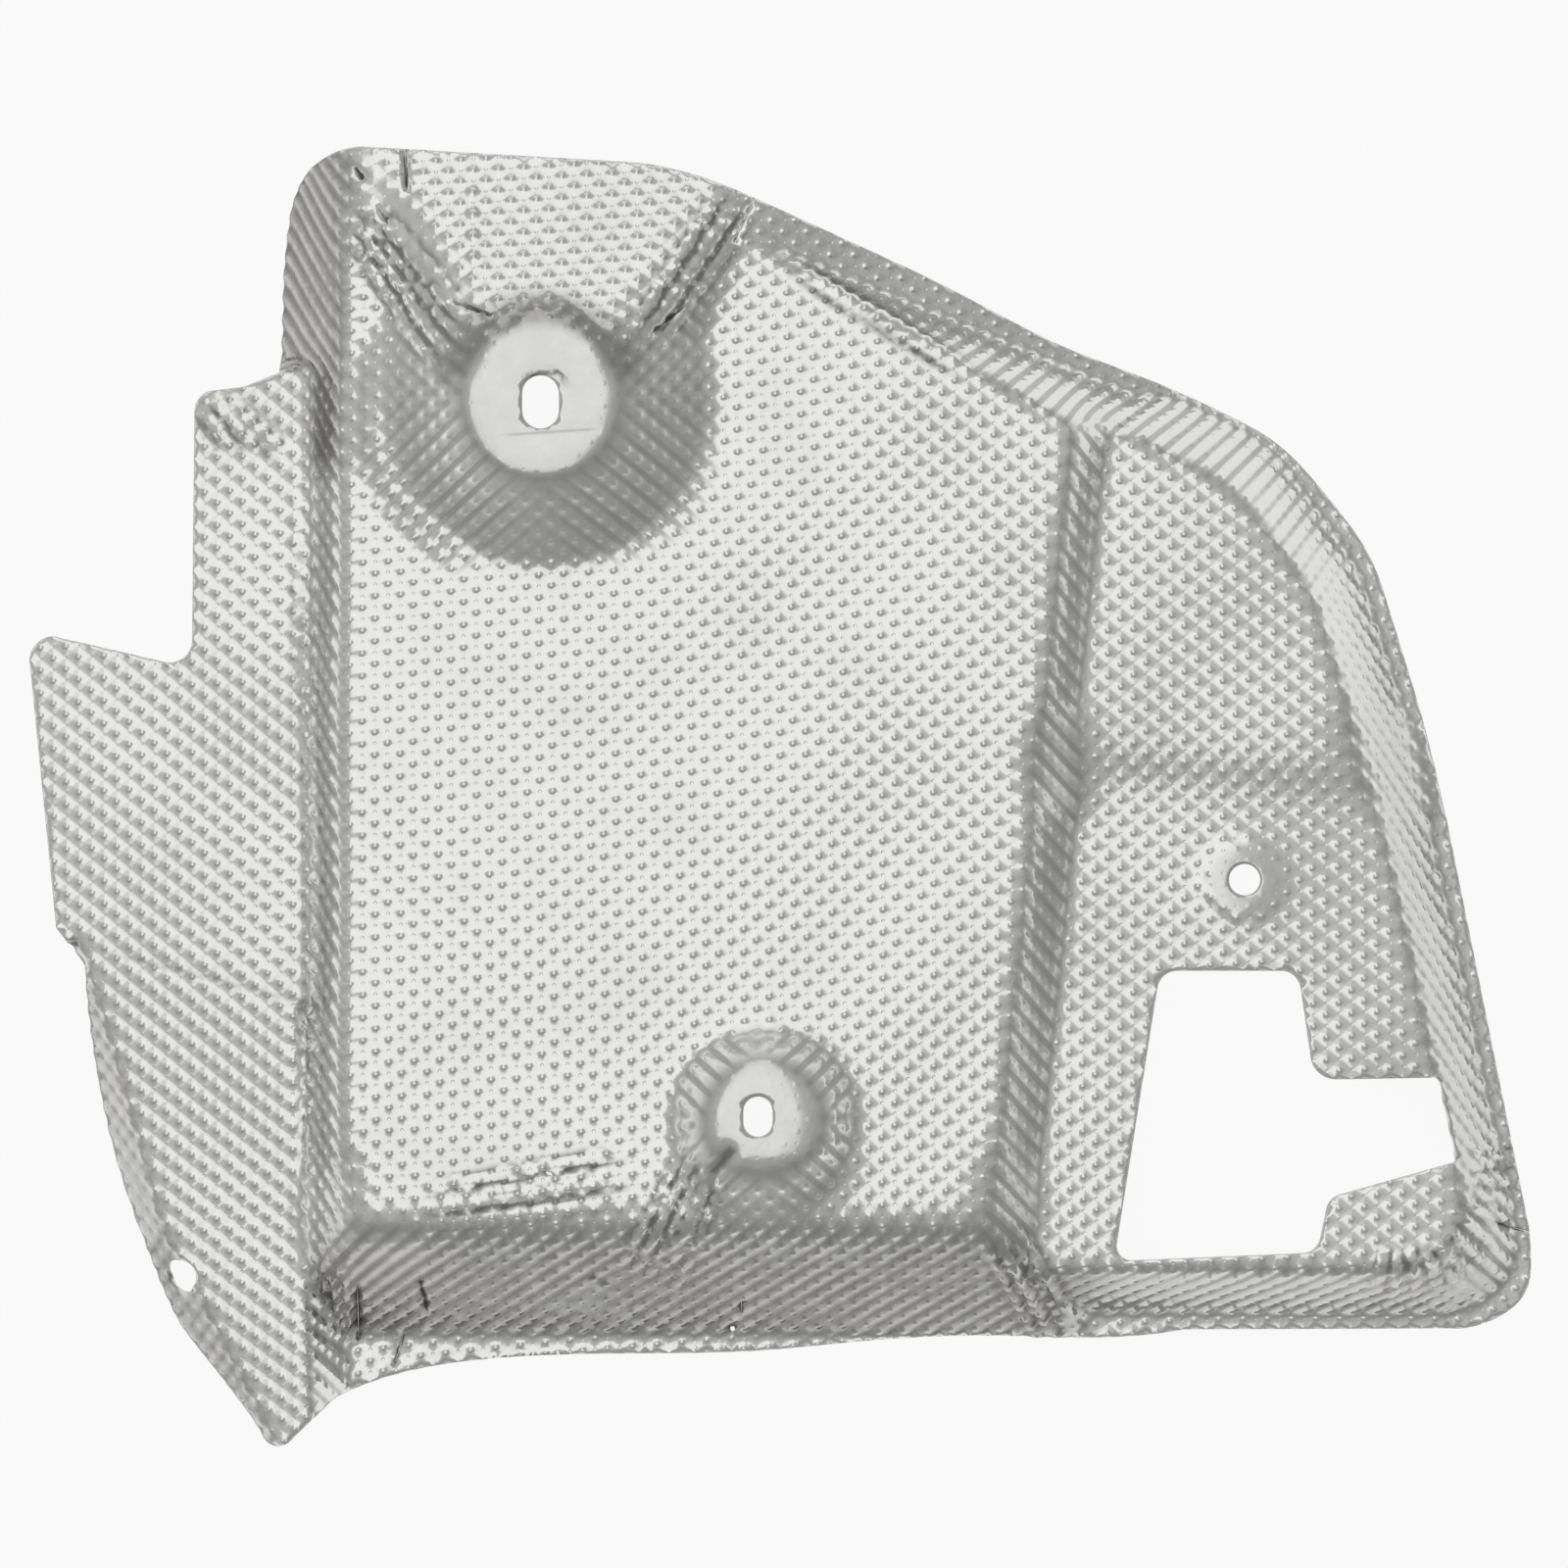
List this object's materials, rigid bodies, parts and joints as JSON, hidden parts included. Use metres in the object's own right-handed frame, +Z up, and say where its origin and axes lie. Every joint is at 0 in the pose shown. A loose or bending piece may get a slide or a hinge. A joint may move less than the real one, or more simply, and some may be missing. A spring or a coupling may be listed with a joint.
{
  "type": "car heat shield",
  "caption": "Pressed aluminium car heat shield: embossed raised panels with conical slotted fixing bosses, a bent wing, a cut-out, a round hole and a thin rim.",
  "frame": {"origin": "centre of the bounding box in plan, on the floor that the rim lies on", "axes": "+X along the longest side, away from the wing; +Y towards the edge by the large boss; +Z up, out of the raised side"},
  "size_m": [0.4148, 0.3578, 0.054],
  "materials": {
    "sheet": "satin, embossed"
  },
  "bodies": {
    "root": {"heat_shield": "sheet"}
  },
  "joints": []
}
